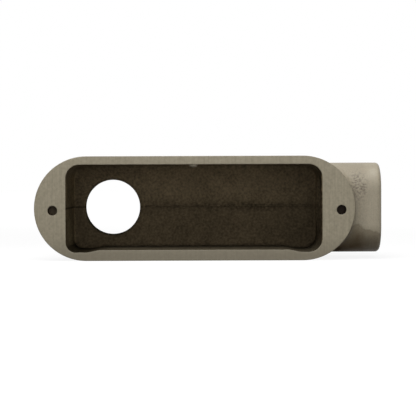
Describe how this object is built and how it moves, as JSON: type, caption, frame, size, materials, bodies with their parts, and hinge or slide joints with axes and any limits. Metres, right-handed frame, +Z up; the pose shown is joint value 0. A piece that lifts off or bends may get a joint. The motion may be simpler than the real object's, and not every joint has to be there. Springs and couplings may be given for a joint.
{
  "type": "conduit body",
  "caption": "Cast conduit body with an obround open wiring chamber, a threaded hub at its end and another in its back, to turn a conduit run through a right angle.",
  "frame": {"origin": "centre of the back hub's mouth, on the axis of the back hub", "axes": "+X runs out of the end hub along the conduit run, +Y runs out of the back hub, the chamber opens to -Y, and +Z is up, across the rim's width"},
  "size_m": [0.1257, 0.0553, 0.0376],
  "materials": {
    "casting": "sand-cast malleable iron, zinc plated and lacquered a warm grey outside, with the cover rim ground flat and the chamber left dark"
  },
  "bodies": {
    "root": {"conduit_body": "casting"}
  },
  "joints": []
}
